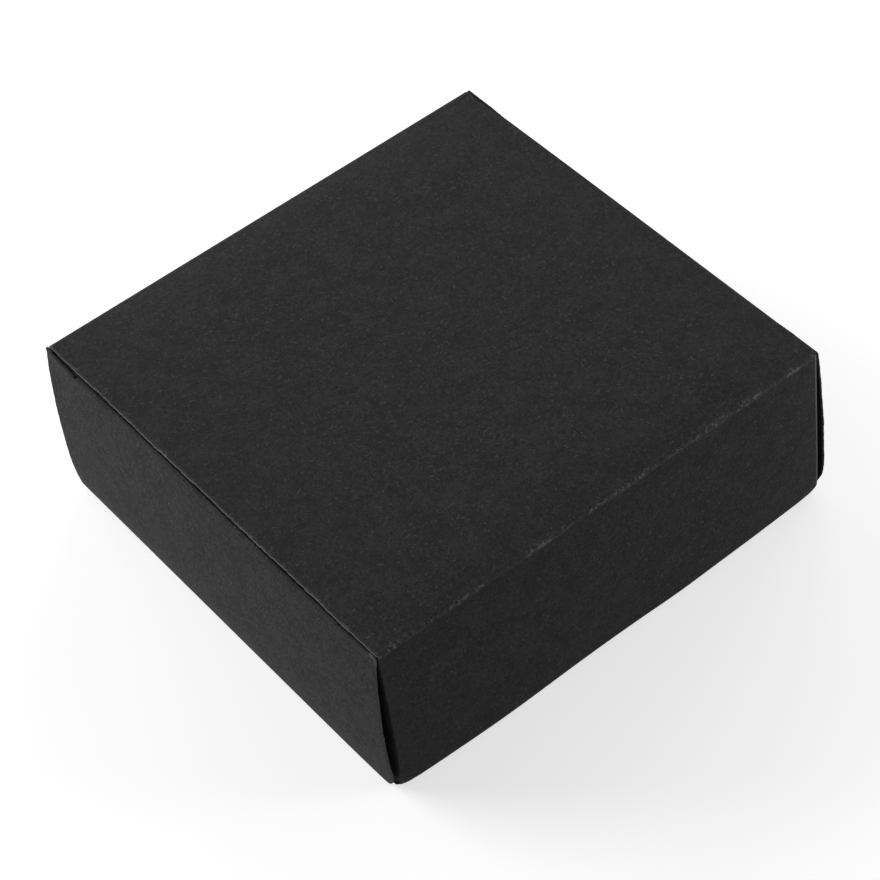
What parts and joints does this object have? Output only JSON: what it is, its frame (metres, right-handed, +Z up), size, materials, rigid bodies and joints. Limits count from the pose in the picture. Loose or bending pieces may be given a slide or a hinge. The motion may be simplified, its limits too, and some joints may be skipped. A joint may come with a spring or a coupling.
{
  "type": "tuck-end carton",
  "caption": "Low square carton of thin black board, closed: a glued tube whose bowed end closures hinge at the bottom and tuck in under the top, over folded dust flaps.",
  "frame": {"origin": "under the middle of the tube, on the surface that the carton lies on", "axes": "+Z up, X along the tube from the left closure to the right one, +Y towards the back wall, which carries the glued seam"},
  "size_m": [0.0833, 0.0804, 0.031],
  "materials": {
    "black_board": "matt uncoated, fine fibre flecks, pale scuffed edges",
    "dried_glue": "dried, dull"
  },
  "bodies": {
    "root": {"top_panel": "black_board", "front_wall": "black_board", "bottom_panel": "black_board", "back_wall": "black_board", "glue_flap": "black_board", "seam_glue": "dried_glue"},
    "left_closure": {"left_closure": "black_board"},
    "left_tuck_flap": {"left_tuck_flap": "black_board"},
    "left_front_dust_flap": {"left_front_dust_flap": "black_board"},
    "left_back_dust_flap": {"left_back_dust_flap": "black_board"},
    "right_closure": {"right_closure": "black_board"},
    "right_tuck_flap": {"right_tuck_flap": "black_board"},
    "right_front_dust_flap": {"right_front_dust_flap": "black_board"},
    "right_back_dust_flap": {"right_back_dust_flap": "black_board"}
  },
  "joints": [
    {"name": "left_closure_crease", "type": "hinge", "parent": "root", "child": "left_closure", "pos_m": [-0.0406, 0, 0.0002], "axis": [0, -1, 0], "range_deg": [0, 84]},
    {"name": "left_tuck_crease", "type": "hinge", "parent": "left_closure", "child": "left_tuck_flap", "pos_m": [-0.0405, 0, 0.0303], "axis": [0, -1, 0], "range_deg": [-25, 10]},
    {"name": "left_front_dust_crease", "type": "hinge", "parent": "root", "child": "left_front_dust_flap", "pos_m": [-0.0396, -0.03977, 0.0155], "axis": [0, 0, -1], "range_deg": [0, 75]},
    {"name": "left_back_dust_crease", "type": "hinge", "parent": "root", "child": "left_back_dust_flap", "pos_m": [-0.0396, 0.03977, 0.0155], "axis": [0, 0, 1], "range_deg": [0, 75]},
    {"name": "right_closure_crease", "type": "hinge", "parent": "root", "child": "right_closure", "pos_m": [0.0406, 0, 0.0002], "axis": [0, 1, 0], "range_deg": [0, 84]},
    {"name": "right_tuck_crease", "type": "hinge", "parent": "right_closure", "child": "right_tuck_flap", "pos_m": [0.0405, 0, 0.0303], "axis": [0, 1, 0], "range_deg": [-25, 10]},
    {"name": "right_front_dust_crease", "type": "hinge", "parent": "root", "child": "right_front_dust_flap", "pos_m": [0.0396, -0.03977, 0.0155], "axis": [0, 0, 1], "range_deg": [0, 75]},
    {"name": "right_back_dust_crease", "type": "hinge", "parent": "root", "child": "right_back_dust_flap", "pos_m": [0.0396, 0.03977, 0.0155], "axis": [0, 0, -1], "range_deg": [0, 75]}
  ]
}
